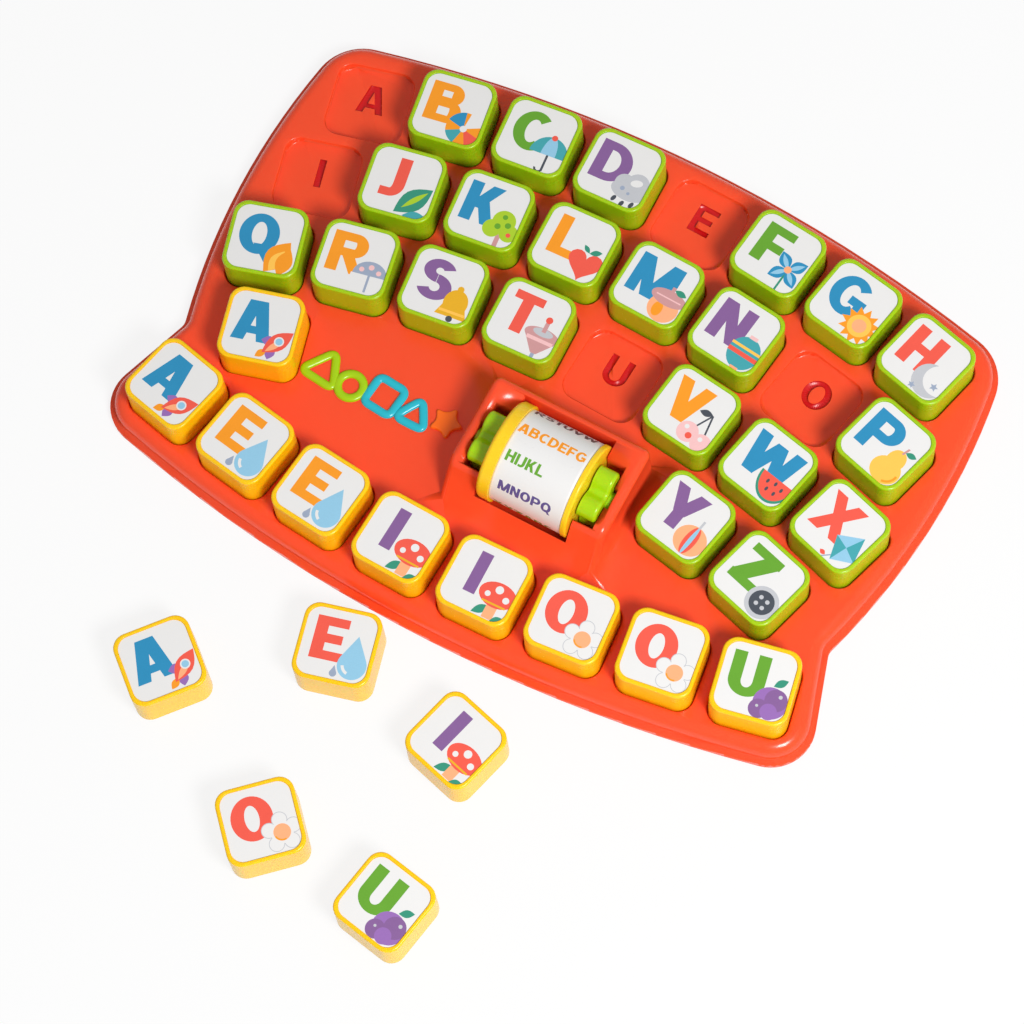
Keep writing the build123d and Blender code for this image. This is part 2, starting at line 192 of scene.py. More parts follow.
def letter_strokes(letter, stem, cross):
    """The strokes and the width of a capital, from the thickness of its upright and cross strokes."""
    lean = stem * 1.08
    if letter == "A":
        return [leg(0.5 * lean, 0, 0.40, 1, lean), leg(0.92 - 0.5 * lean, 0, 0.52, 1, lean),
                bar(0.2, 0.18, 0.72, 0.18 + cross * 0.9)], 0.92
    if letter == "B":
        return [bar(0, 0, stem, 1), *bowl(0, 0.80, 0.46, 1, stem, cross * 0.9),
                *bowl(0, 0.85, 0, 0.58, stem, cross * 0.9)], 0.85
    if letter == "C":
        return [bow(0.46, 0.5, 0.46, 0.51, 48, 180, stem, cross),
                bow(0.46, 0.5, 0.46, 0.51, 180, 312, stem, cross)], 0.80
    if letter == "D":
        return [bar(0, 0, stem, 1), *bowl(0, 0.88, 0, 1, stem, cross)], 0.88
    if letter == "E":
        return [bar(0, 0, stem, 1), bar(0, 0, 0.74, cross), bar(0, 1 - cross, 0.74, 1),
                bar(0, 0.5 - cross / 2, 0.66, 0.5 + cross / 2)], 0.74
    if letter == "F":
        return [bar(0, 0, stem, 1), bar(0, 1 - cross, 0.72, 1),
                bar(0, 0.46 - cross / 2, 0.62, 0.46 + cross / 2)], 0.72
    if letter == "G":
        return [bow(0.47, 0.5, 0.47, 0.51, 42, 180, stem, cross),
                bow(0.47, 0.5, 0.47, 0.51, 180, 318, stem, cross),
                bar(0.50, 0.54 - cross, 0.90, 0.54), bar(0.90 - stem * 0.8, 0.12, 0.90, 0.54)], 0.92
    if letter == "H":
        return [bar(0, 0, stem, 1), bar(0.83 - stem, 0, 0.83, 1),
                bar(0, 0.5 - cross / 2, 0.83, 0.5 + cross / 2)], 0.83
    if letter == "I":
        return [bar(0, 0, stem, 1)], stem
    if letter == "J":
        return [bar(0.56 - stem, 0.34, 0.56, 1), bow(0.22, 0.34, 0.34, 0.35, 270, 360, stem, cross),
                bar(0, -0.01, 0.22, cross - 0.01)], 0.56
    if letter == "K":
        return [bar(0, 0, stem, 1), leg(stem * 0.9, 0.36, 0.82 - lean / 2, 1, lean),
                leg(0.84 - lean / 2, 0, 0.26 + stem * 0.5, 0.60, lean)], 0.86
    if letter == "L":
        return [bar(0, 0, stem, 1), bar(0, 0, 0.70, cross)], 0.70
    if letter == "M":
        slim = stem * 0.92
        return [bar(0, 0, slim, 1), bar(1.09 - slim, 0, 1.09, 1),
                leg(0.545, 0, slim * 0.62, 1, slim * 1.15),
                leg(0.545, 0, 1.09 - slim * 0.62, 1, slim * 1.15)], 1.09
    if letter == "N":
        return [bar(0, 0, stem, 1), bar(0.85 - stem, 0, 0.85, 1),
                leg(0.85 - stem * 0.56, 0, stem * 0.56, 1, lean)], 0.85
    if letter == "O":
        return ring(0.47, 0.5, 0.47, 0.51, stem * 1.08, cross), 0.94
    if letter == "P":
        return [bar(0, 0, stem, 1), *bowl(0, 0.86, 0.34, 1, stem, cross)], 0.86
    if letter == "Q":
        return [*ring(0.47, 0.5, 0.47, 0.51, stem * 1.05, cross),
                leg(0.86, -0.18, 0.52, 0.26, lean * 0.9)], 0.94
    if letter == "R":
        return [bar(0, 0, stem, 1), *bowl(0, 0.86, 0.40, 1, stem, cross),
                leg(0.90 - lean / 2, 0, 0.26 + stem / 2, 0.52, lean)], 0.90
    if letter == "S":
        high, low = 0.24 + cross / 4, 0.27 + cross / 4
        return [bow(0.41, 1.01 - high, 0.38, high, 25, 180, stem, cross),
                bow(0.41, 1.01 - high, 0.38, high, 180, 270, stem, cross),
                bow(0.42, low - 0.01, 0.41, low, 0, 90, stem, cross),
                bow(0.42, low - 0.01, 0.41, low, -158, 0, stem, cross)], 0.83
    if letter == "T":
        return [bar(0, 1 - cross, 0.72, 1), bar(0.36 - stem / 2, 0, 0.36 + stem / 2, 1)], 0.72
    if letter == "U":
        return [bar(0, 0.36, stem, 1), bar(0.83 - stem, 0.36, 0.83, 1),
                bow(0.415, 0.36, 0.415, 0.37, 180, 270, stem, cross),
                bow(0.415, 0.36, 0.415, 0.37, 270, 360, stem, cross)], 0.83
    if letter == "V":
        return [leg(0.46, 0, lean / 2, 1, lean), leg(0.46, 0, 0.92 - lean / 2, 1, lean)], 0.92
    if letter == "W":
        return [leg(0.34, 0, lean / 2, 1, lean), leg(0.34, 0, 0.645, 0.94, lean * 0.92),
                leg(0.95, 0, 0.645, 0.94, lean * 0.92), leg(0.95, 0, 1.29 - lean / 2, 1, lean)], 1.29
    if letter == "X":
        return [leg(lean / 2, 0, 0.94 - lean / 2, 1, lean), leg(0.94 - lean / 2, 0, lean / 2, 1, lean)], 0.94
    if letter == "Y":
        return [leg(0.46, 0.36, lean / 2, 1, lean), leg(0.46, 0.36, 0.92 - lean / 2, 1, lean),
                bar(0.46 - stem / 2, 0, 0.46 + stem / 2, 0.46)], 0.92
    return [bar(0, 0, 0.83, cross), bar(0.03, 1 - cross, 0.83, 1),
            leg(lean * 0.66, cross * 0.8, 0.83 - lean * 0.66, 1 - cross * 0.8, lean * 1.32)], 0.83


def letter_width(letter, stem, cross):
    """How wide a capital is, for a height of one."""
    return letter_strokes(letter, stem, cross)[1]


def written(letter, left, foot, height, stem, cross):
    """A capital's strokes at its real size, with its left foot at the given place."""
    strokes = letter_strokes(letter, stem, cross)[0]
    return [[(left + x * height, foot + y * height) for x, y in stroke] for stroke in strokes]


def counterclockwise(points):
    """The same outline, turned so that it runs counterclockwise."""
    area = sum(a[0] * b[1] - b[0] * a[1] for a, b in zip(points, points[1:] + points[:1]))
    return points if area > 0 else points[::-1]


def fitted(outlines):
    """Flat outlines cut along each other: the points, the faces and the outlines over each face."""
    points, faces = [], []
    for outline in outlines:
        outline = counterclockwise(outline)
        faces.append(list(range(len(points), len(points) + len(outline))))
        points.extend(Vector(p) for p in outline)
    cut = delaunay_2d_cdt(points, [], faces, 1, 1e-7)
    corners, cells, covers = cut[0], cut[2], cut[5]
    return corners, cells, covers


# The tray is one glossy red moulding in hard plastic: a skirt with a rolled top edge, square
# pockets, and a raised console that holds the roller. Each empty pocket shows the letter of
# its missing tile, sunk into the floor.
mm = 0.001
weld = 0.002 * mm
rim_step = 2.6 * mm
tray_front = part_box("tray")[0].y + rim_step
back_rows_centre = tray_front - 367 * mm
front_row_centre = tray_front + 736.3 * mm
front_row_limit = tray_front + 54 * mm


def row_turn(x, y):
    """How far a pocket at x, y is turned with its arched row."""
    if y < front_row_limit:
        return atan2(x, front_row_centre - y)
    return -atan2(x, y - back_rows_centre)


def shader_group(name, inputs):
    """A node group with named inputs, which puts out a colour, a roughness and a normal."""
    group = bpy.data.node_groups.new(name, "ShaderNodeTree")
    for socket, kind in inputs:
        group.interface.new_socket(socket, in_out="INPUT", socket_type=kind)
    for socket, kind in (("Colour", "NodeSocketColor"), ("Roughness", "NodeSocketFloat"),
                         ("Normal", "NodeSocketVector")):
        group.interface.new_socket(socket, in_out="OUTPUT", socket_type=kind)
    return group, group.nodes, group.links


def noise(nodes, links, place, scale, detail):
    """Noise at a scale, in the piece's own space."""
    texture = nodes.new("ShaderNodeTexNoise")
    texture.inputs["Scale"].default_value = scale
    texture.inputs["Detail"].default_value = detail
    links.new(place, texture.inputs["Vector"])
    return texture.outputs["Fac"]


def shaded(nodes, links, colour, value):
    """A colour made lighter or darker."""
    tone = nodes.new("ShaderNodeHueSaturation")
    links.new(value, tone.inputs["Value"])
    links.new(colour, tone.inputs["Color"])
    return tone.outputs["Color"]


moulded, nodes, links = shader_group("moulded_plastic", (
    ("Colour", "NodeSocketColor"), ("Mottle", "NodeSocketFloat"),
    ("Gloss", "NodeSocketFloat"), ("Grain", "NodeSocketFloat")))
given, made = nodes.new("NodeGroupInput").outputs, nodes.new("NodeGroupOutput").inputs
place = nodes.new("ShaderNodeTexCoord").outputs["Object"]
flow = noise(nodes, links, place, 34, 3)
swing = reckon(nodes, links, "SUBTRACT", flow, 0.5)
amount = reckon(nodes, links, "MULTIPLY_ADD", swing, given["Mottle"], 1.0)
links.new(shaded(nodes, links, given["Colour"], amount), made["Colour"])
handling = noise(nodes, links, place, 160, 4)
links.new(reckon(nodes, links, "MULTIPLY_ADD", handling, 0.12, given["Gloss"]), made["Roughness"])
peel = noise(nodes, links, place, 700, 2)
relief = nodes.new("ShaderNodeBump")
relief.inputs["Distance"].default_value = 0.0002
links.new(given["Grain"], relief.inputs["Strength"])
links.new(peel, relief.inputs["Height"])
links.new(relief.outputs["Normal"], made["Normal"])


def skinned_with(name, group, **values):
    """A material whose shader takes its colour, roughness and normal from a node group."""
    material, nodes, links = fresh_material(name)
    skin = nodes.new("ShaderNodeGroup")
    skin.node_tree = group
    for socket, value in values.items():
        skin.inputs[socket].default_value = value
    shader = nodes["Principled BSDF"]
    for made, taken in (("Colour", "Base Color"), ("Roughness", "Roughness"), ("Normal", "Normal")):
        links.new(skin.outputs[made], shader.inputs[taken])
    return material, shader


def plastic(name, colour, gloss, glow=0.0, depth=0.004):
    """A moulded plastic in one colour, with its slight flow marks and moulded skin."""
    material, shader = skinned_with(name, moulded, Colour=(*colour, 1), Mottle=0.04, Gloss=gloss, Grain=0.03)
    shader.inputs["IOR"].default_value = 1.5
    shader.inputs["Specular IOR Level"].default_value = 0.4
    shader.inputs["Subsurface Weight"].default_value = glow
    shader.inputs["Subsurface Radius"].default_value = (depth, depth / 4, depth / 8)
    shader.inputs["Subsurface Scale"].default_value = 1.0
    return material


def settle(piece, body):
    """Lets a piece ride on its body."""
    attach(piece, body)


def smooth(mesh, angle):
    """Smooth faces with the edges above the angle kept crisp."""
    mesh.shade_smooth()
    mesh.set_sharp_from_angle(angle=radians(angle))


def flat_normals(piece):
    """Keeps broad flat faces flat where they run into rounded edges."""
    weighted = piece.modifiers.new("flat_faces", "WEIGHTED_NORMAL")
    weighted.keep_sharp = True


tray_red = plastic("tray_red", (1.0, 0.078, 0.022), gloss=0.16, glow=0.2, depth=0.012)
# The sunk letters are a darker red than the tray: painted shade that stands in for the shade in their
# hollows.
letter_red = plastic("letter_red", (0.60, 0.004, 0.006), gloss=0.22)
tray_mesh = frame["nodes"]["tray"].data.copy()
tray_mesh.name = "tray_shell"
tray_mesh.materials.clear()
tray_mesh.materials.append(tray_red)
trim = bmesh.new()
trim.from_mesh(tray_mesh)
bmesh.ops.remove_doubles(trim, verts=trim.verts[:], dist=weld)
trim.to_mesh(tray_mesh)
trim.free()
tray_shell = put("tray_shell", tray_mesh)
pocket_floor = 8.2 * mm
sunk_depth = 1.2 * mm
sunk_height, sunk_foot, sunk_stem, sunk_cross = 14.5 * mm, -3.2 * mm, 0.23, 0.18
empty_letters = dict(zip(
    ("pocket_rear_left", "pocket_rear_middle", "pocket_second_left", "pocket_second_right",
     "pocket_third_middle"), "AEIOU"))
cutter = bmesh.new()
for opening in frame["record"]["physics"]["openings"]:
    letter = empty_letters.get(opening["name"])
    if not letter:
        continue
    low, high = Vector(opening["box_m"][0]), Vector(opening["box_m"][1])
    centre = (low + high) / 2
    left = -letter_width(letter, sunk_stem, sunk_cross) / 2 * sunk_height
    corners, cells, covers = fitted(written(letter, left, sunk_foot, sunk_height, sunk_stem, sunk_cross))
    seat = Matrix.Translation((centre.x, centre.y, pocket_floor - sunk_depth))
    seat = seat @ Matrix.Rotation(row_turn(centre.x, centre.y), 4, "Z")
    flat = [cutter.verts.new(seat @ Vector((x, y, 0))) for x, y in corners]
    cut_faces = [cutter.faces.new([flat[i] for i in cell]) for cell, cover in zip(cells, covers) if cover]
    grown = bmesh.ops.extrude_face_region(cutter, geom=cut_faces, use_keep_orig=True)
    rising = [v for v in grown["geom"] if isinstance(v, bmesh.types.BMVert)]
    bmesh.ops.translate(cutter, verts=rising, vec=(0, 0, 2 * sunk_depth))
bmesh.ops.recalc_face_normals(cutter, faces=cutter.faces[:])
cutter_mesh = bpy.data.meshes.new("letter_cutter")
cutter.to_mesh(cutter_mesh)
cutter.free()
# The cutter's darker red passes to the letters' faces as their painted shade.
cutter_mesh.materials.append(letter_red)
letter_cutter = put("letter_cutter", cutter_mesh)
carve = tray_shell.modifiers.new("letters", "BOOLEAN")
carve.object = letter_cutter
carve.operation = "DIFFERENCE"
carve.solver = "EXACT"
carve.material_mode = "TRANSFER"
bpy.context.view_layer.update()
carved = bpy.data.meshes.new_from_object(tray_shell.evaluated_get(bpy.context.evaluated_depsgraph_get()))
tray_shell.modifiers.clear()
bpy.data.objects.remove(letter_cutter)
tray_shell.data = carved
smooth(carved, 32)
flat_normals(tray_shell)
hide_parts("tray")
settle(tray_shell, "tray")

# Plain raised shapes in three colours decorate the deck left of the roller. Each is hard
# plastic set into the deck's face: a rounded bead bent round a softened polygon, or a low pad.
deck_top, shape_sink, shape_rise = 12 * mm, 0.4 * mm, 1.4 * mm
bead_half, bead_steps = 2.1 * mm, 8
pad_shrink, pad_steps = 0.22, 5
shape_green = plastic("shape_green", (0.36, 0.62, 0.003), gloss=0.18)
shape_teal = plastic("shape_teal", (0.02, 0.48, 0.60), gloss=0.18)
shape_orange = plastic("shape_orange", (1.0, 0.16, 0.008), gloss=0.18)


def softened(points, rounds=3):
    """A closed polygon with its corners cut again and again until they are round."""
    for cut in range(rounds):
        pairs = list(zip(points, points[1:] + points[:1]))
        points = [spot for a, b in pairs for spot in (a * 0.75 + b * 0.25, a * 0.25 + b * 0.75)]
    return points


def spokes(x, y, reaches, turn):
    """Corners about a middle on the deck, in millimetres right of and back from the front edge."""
    corners = []
    for i, reach in enumerate(reaches):
        angle = radians(turn + 360 * i / len(reaches))
        corners.append(Vector(((x + reach * cos(angle)) * mm, tray_front + (y + reach * sin(angle)) * mm)))
    return corners


def join_rings(skin, lower, upper):
    """Faces between two closed rings with as many points."""
    for i in range(len(lower)):
        j = (i + 1) % len(lower)
        skin.faces.new((lower[i], lower[j], upper[j], upper[i]))


def skinned(rings):
    """A skin through closed rings of points, open at its first and last ring."""
    skin = bmesh.new()
    loops = [[skin.verts.new(spot) for spot in ring] for ring in rings]
    for lower, upper in zip(loops, loops[1:]):
        join_rings(skin, lower, upper)
    return skin, loops


def close_ends(skin, loops):
    """Faces over the last ring and the first."""
    skin.faces.new(loops[-1])
    skin.faces.new(loops[0][::-1])


def cast(name, skin, finish, crisp):
    """A mesh from a closed skin, in one finish, with the edges above the angle kept crisp."""
    bmesh.ops.recalc_face_normals(skin, faces=skin.faces[:])
    mesh = bpy.data.meshes.new(name)
    skin.to_mesh(mesh)
    skin.free()
    mesh.materials.append(finish)
    smooth(mesh, crisp)
    return mesh


def shape_height(turn):
    """How high a raised shape's skin stands, from its foot in the deck to its crown."""
    return deck_top - shape_sink + (shape_rise + shape_sink) * sin(turn) ** 0.6


def bead(name, path, finish):
    """A rounded bead along a closed path."""
    rings = []
    for step in range(bead_steps + 1):
        turn = pi * step / bead_steps
        ring = []
        for before, spot, after in zip(path[-1:] + path[:-1], path, path[1:] + path[:1]):
            along = (after - before).normalized()
            side = spot + Vector((along.y, -along.x)) * bead_half * cos(turn)
            ring.append((side.x, side.y, shape_height(turn)))
        rings.append(ring)
    skin, loops = skinned(rings)
    join_rings(skin, loops[-1], loops[0])
    settle(put(name, cast(name, skin, finish, 50)), "tray")


def pad(name, path, finish):
    """A low pad with a rounded edge inside a closed path."""
    middle = sum(path, Vector((0, 0))) / len(path)
    rings = []
    for step in range(pad_steps + 1):
        turn = pi / 2 * step / pad_steps
        shrink = 1 - pad_shrink * (1 - cos(turn))
        rings.append([(*(middle + (spot - middle) * shrink), shape_height(turn)) for spot in path])
    skin, loops = skinned(rings)
    close_ends(skin, loops)
    settle(put(name, cast(name, skin, finish, 50)), "tray")


bead("shape_triangle", softened(spokes(-97.6, 85.5, [10.8, 5.4] * 3, 84)), shape_green)
bead("shape_circle", spokes(-82.5, 84.5, [6] * 40, 0), shape_green)
bead("shape_square", softened(spokes(-66, 87.5, [10.4, 7.2] * 4, 40)), shape_teal)
bead("shape_clover", softened(spokes(-49.5, 85.5, [8.6, 4.6] * 3, 90)), shape_teal)
pad("shape_star", softened(spokes(-34.5, 89.5, [9, 4.6] * 5, 80), 2), shape_orange)

# A tile is a hollow square moulding in glossy plastic, open below, with a rolled top edge and
# a shallow seat for its label. Consonants are green and vowels yellow.
tile_half, tile_corner, tile_height = 18.1 * mm, 6.9 * mm, 21.8 * mm
tile_draft, foot_round, edge_steps = 0.15 * mm, 0.4 * mm, 6
tile_edge, tile_wall, tile_top = 1.0 * mm, 1.8 * mm, 2.6 * mm
seat_half, seat_corner, seat_depth = 16.2 * mm, 6.1 * mm, 0.7 * mm
seat_lip, lip_steps = 0.25 * mm, 3
consonant_green = plastic("consonant_green", (0.36, 0.58, 0.004), gloss=0.2, glow=0.3)
vowel_yellow = plastic("vowel_yellow", (1.0, 0.58, 0.004), gloss=0.2, glow=0.2)


def rounded_square(half, corner, steps=7):
    """Points round a square with rounded corners."""
    points = []
    for quarter in range(4):
        turn = radians(90 * quarter)
        for step in range(steps + 1):
            angle = turn + radians(90) * step / steps
            centre = Matrix.Rotation(turn, 2) @ Vector((half - corner, half - corner))
            points.append((centre.x + corner * cos(angle), centre.y + corner * sin(angle)))
    return points


def tile_mesh(name, finish):
    """The tile's moulding, from the ceiling of its hollow, round its foot and up to the label seat."""
    # Each level is a half width, a corner radius and a height
    levels = [(tile_half - tile_wall - tile_draft, tile_corner - tile_wall, tile_height - tile_top),
              (tile_half - tile_wall, tile_corner - tile_wall, 0),
              (tile_half - foot_round, tile_corner - foot_round, 0),
              (tile_half, tile_corner, foot_round)]
    top_half = tile_half - tile_draft
    for step in range(edge_steps + 1):
        angle = radians(90) * step / edge_steps
        pull = tile_edge * (1 - cos(angle))
        rise = tile_height - tile_edge * (1 - sin(angle))
        levels.append((top_half - pull, tile_corner - pull, rise))
    for step in range(lip_steps + 1):
        angle = radians(90) * step / lip_steps
        pull = seat_lip * sin(angle)
        levels.append((seat_half + seat_lip - pull, seat_corner + seat_lip - pull,
                       tile_height - seat_lip * (1 - cos(angle))))
    levels.append((seat_half, seat_corner, tile_height - seat_depth))
    skin, loops = skinned([[(x, y, height) for x, y in rounded_square(half, corner)]
                           for half, corner, height in levels])
    close_ends(skin, loops)
    return cast(name, skin, finish, 35)


green_tile = tile_mesh("green_tile", consonant_green)
yellow_tile = tile_mesh("yellow_tile", vowel_yellow)
loose_turns = {"loose_a": 50.6, "loose_e": 15.5, "loose_i": -14.5, "loose_o": 43.8, "loose_u": -9.4}
tiles = {}
for node in sorted(frame["nodes"]):
    if not node.startswith(("tile_", "loose_")):
        continue
    low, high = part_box(node)
    middle = (low + high) / 2
    turn = radians(loose_turns[node]) if node in loose_turns else row_turn(middle.x, middle.y)
    letter = node.split("_")[1].upper()
    vowel = letter in "AEIOU"
    piece = put(f"{node}_moulding", yellow_tile if vowel else green_tile)
    piece.matrix_world = Matrix.Translation((middle.x, middle.y, low.z)) @ Matrix.Rotation(turn, 4, "Z")
    flat_normals(piece)
    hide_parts(node)
    settle(piece, node)
    tiles[node] = (piece, letter)

# Each tile carries a white film label, printed with its letter and a small picture that the
# label's edge crops. The label is one sheet, and every colour of ink lies in its face.
label_half, label_corner, label_thick = 15.95 * mm, 5.85 * mm, 0.18 * mm
label_white = (0.79, 0.78, 0.77)
ink_colours = {
    "white": label_white, "blue": (0.018, 0.26, 0.49), "orange": (0.93, 0.32, 0.010),
    "green": (0.125, 0.36, 0.022), "purple": (0.23, 0.107, 0.30), "coral": (0.86, 0.098, 0.062),
    "teal": (0.05, 0.36, 0.40), "sky": (0.28, 0.56, 0.75), "grey": (0.52, 0.53, 0.56),
    "dark": (0.06, 0.07, 0.09), "pink": (0.88, 0.52, 0.52), "peach": (0.98, 0.42, 0.20),
    "leaf": (0.03, 0.28, 0.18), "mustard": (0.80, 0.42, 0.01), "yellow": (1.0, 0.55, 0.08),
    "mauve": (0.60, 0.30, 0.30), "lime": (0.40, 0.60, 0.02), "navy": (0.10, 0.07, 0.25),
    "slate": (0.32, 0.38, 0.50), "plum": (0.30, 0.14, 0.44),
}
printed, nodes, links = shader_group("printed_film", (
    ("Ink", "NodeSocketColor"), ("Screen", "NodeSocketFloat")))
given, made = nodes.new("NodeGroupInput").outputs, nodes.new("NodeGroupOutput").inputs
place = nodes.new("ShaderNodeTexCoord").outputs["Object"]
dots = noise(nodes, links, place, 1400, 2)
lay = noise(nodes, links, place, 90, 2)
spread = reckon(nodes, links, "SUBTRACT", reckon(nodes, links, "ADD", dots, lay), 1.0)
amount = reckon(nodes, links, "MULTIPLY_ADD", spread, given["Screen"], 1.0)
links.new(shaded(nodes, links, given["Ink"], amount), made["Colour"])
links.new(reckon(nodes, links, "MULTIPLY_ADD", lay, 0.10, 0.38), made["Roughness"])
relief = nodes.new("ShaderNodeBump")
relief.inputs["Strength"].default_value = 0.05
relief.inputs["Distance"].default_value = 0.0001
links.new(dots, relief.inputs["Height"])
links.new(relief.outputs["Normal"], made["Normal"])
inks = {}
for ink, colour in ink_colours.items():
    screen = 0.03 if ink == "white" else 0.10
    inks[ink] = skinned_with(f"ink_{ink}", printed, Ink=(*colour, 1), Screen=screen)[0]


def disc(x, y, reach, rise=None, lean=0, steps=28):
    """An oval, leaning by the angle."""
    rise = reach if rise is None else rise
    tilt = Matrix.Rotation(radians(lean), 2)
    points = []
    for i in range(steps):
        turn = 2 * pi * i / steps
        spot = tilt @ Vector((reach * cos(turn), rise * sin(turn)))
        points.append((x + spot.x, y + spot.y))
    return points


def star(x, y, outer, inner, tips, turn=90):
    """A star with any number of tips, the first one at the turn."""
    return [(x + (inner if i % 2 else outer) * cos(radians(turn + 180 * i / tips)),
             y + (inner if i % 2 else outer) * sin(radians(turn + 180 * i / tips)))
            for i in range(2 * tips)]


def petal(x, y, length, width, turn):
    """A pointed leaf or petal that starts at x, y."""
    tilt = Matrix.Rotation(radians(turn), 2)
    points = []
    for i in range(17):
        along = i / 8 if i <= 8 else (16 - i) / 8
        side = width / 2 * sin(pi * along) * (1 if i <= 8 else -1)
        spot = tilt @ Vector((along * length, side))
        points.append((x + spot.x, y + spot.y))
    return points[:-1]


def heart(x, y, size):
    """A heart about its middle."""
    points = []
    for i in range(28):
        t = 2 * pi * i / 28
        points.append((x + size * 0.0625 * 16 * sin(t) ** 3 / 2,
                       y + size * 0.0625 * (13 * cos(t) - 5 * cos(2 * t) - 2 * cos(3 * t) - cos(4 * t)) / 2))
    return points


